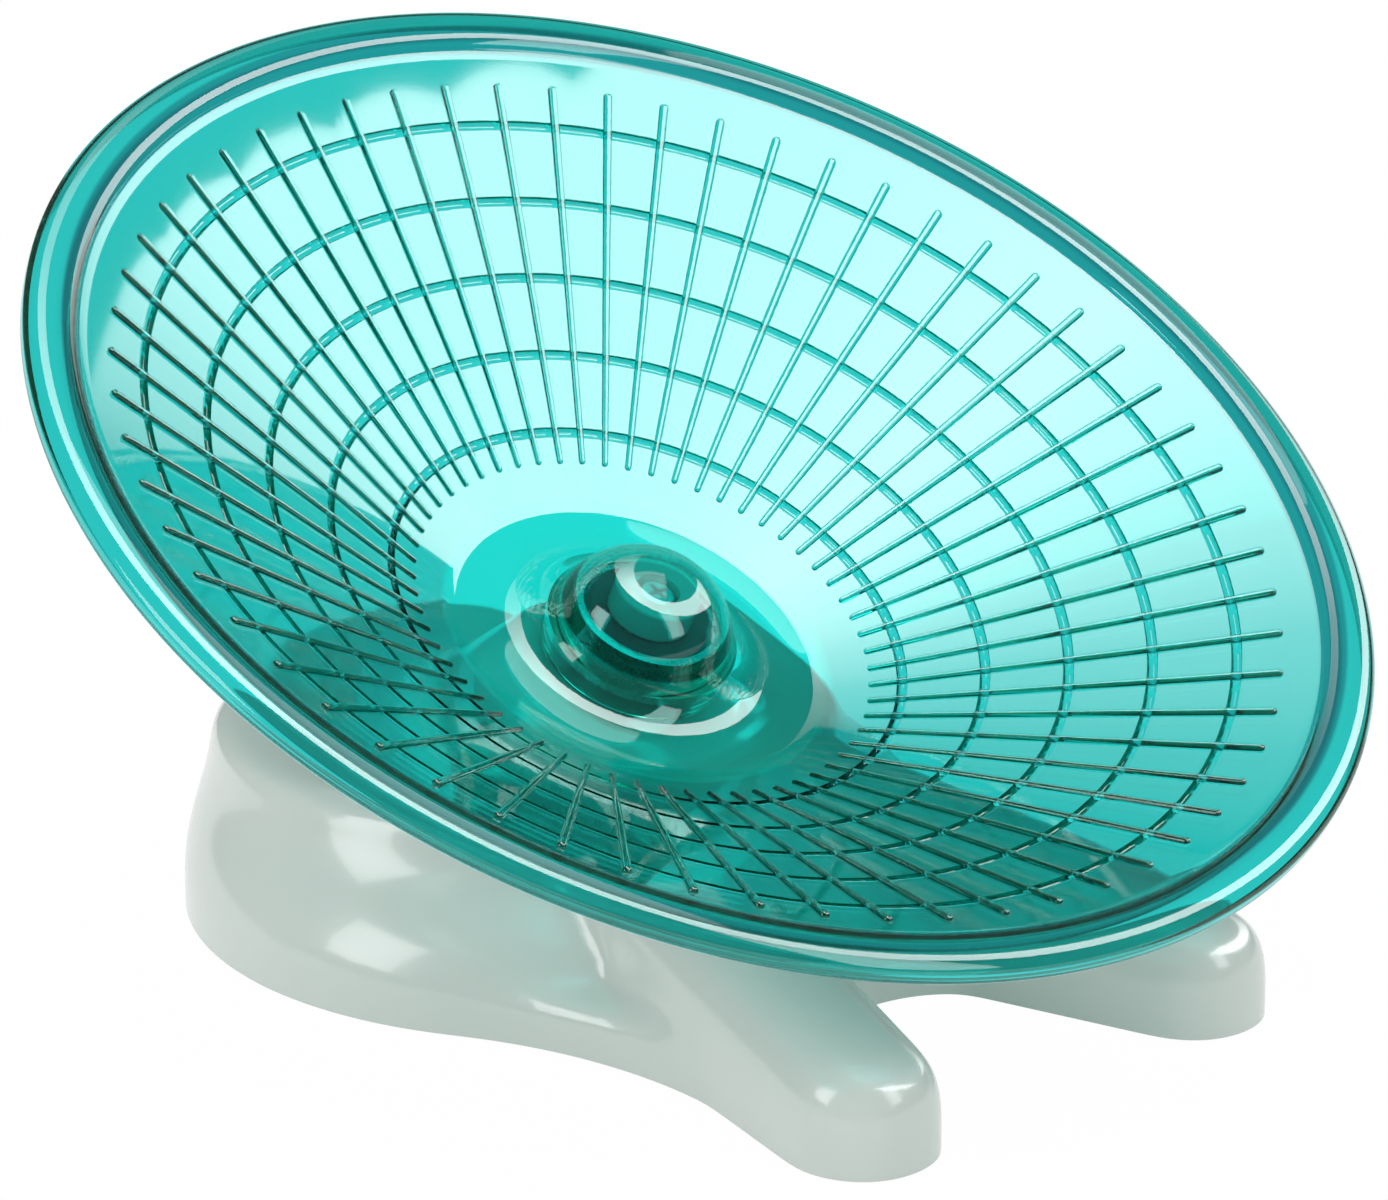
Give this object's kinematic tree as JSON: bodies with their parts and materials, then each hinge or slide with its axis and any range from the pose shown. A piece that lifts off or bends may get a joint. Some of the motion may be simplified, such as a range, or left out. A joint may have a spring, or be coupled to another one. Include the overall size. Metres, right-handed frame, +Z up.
{
  "type": "flying saucer hamster wheel",
  "caption": "Tilted see-through running saucer with a ribbed dish, spinning on a ball bearing on a hollow base with two front legs.",
  "frame": {"origin": "on the table, midway along and across the object's box", "axes": "+Z up, -Y towards the two front legs and the low side of the dish, +X to the right seen from the front"},
  "size_m": [0.2, 0.1785, 0.1218],
  "materials": {
    "dish_plastic": "glossy see-through turquoise plastic",
    "base_plastic": "glossy milky white plastic",
    "bearing_steel": "ground bearing steel",
    "ball_steel": "polished steel balls",
    "cage_steel": "pressed steel sheet",
    "seal_rubber": "black moulded rubber",
    "zinc_steel": "bright zinc plated steel",
    "cap_plastic": "milky white plastic",
    "pad_rubber": "soft grey rubber"
  },
  "bodies": {
    "base": {"base_shell": "base_plastic", "foot_pads": "pad_rubber", "bearing_inner_race": "bearing_steel", "spacer_washer": "zinc_steel", "retaining_cap": "cap_plastic", "cap_screw": "zinc_steel"},
    "disc": {"running_disc": "dish_plastic", "bearing_outer_race": "bearing_steel", "seal_upper": "seal_rubber", "seal_lower": "seal_rubber"},
    "ball_cage": {"bearing_balls": "ball_steel", "cage_upper": "cage_steel", "cage_lower": "cage_steel", "cage_rivets": "cage_steel"}
  },
  "joints": [
    {"name": "disc_spin", "type": "hinge", "parent": "base", "child": "disc", "pos_m": [0, 0.0148, 0.0459], "axis": [0, -0.4571, 0.8894], "continuous": true},
    {"name": "cage_orbit", "type": "hinge", "parent": "base", "child": "ball_cage", "pos_m": [0, 0.0148, 0.0459], "axis": [0, -0.4571, 0.8894], "continuous": true}
  ],
  "couplings": [
    {"joint": "cage_orbit", "follows": "disc_spin", "ratio": 0.6323}
  ]
}
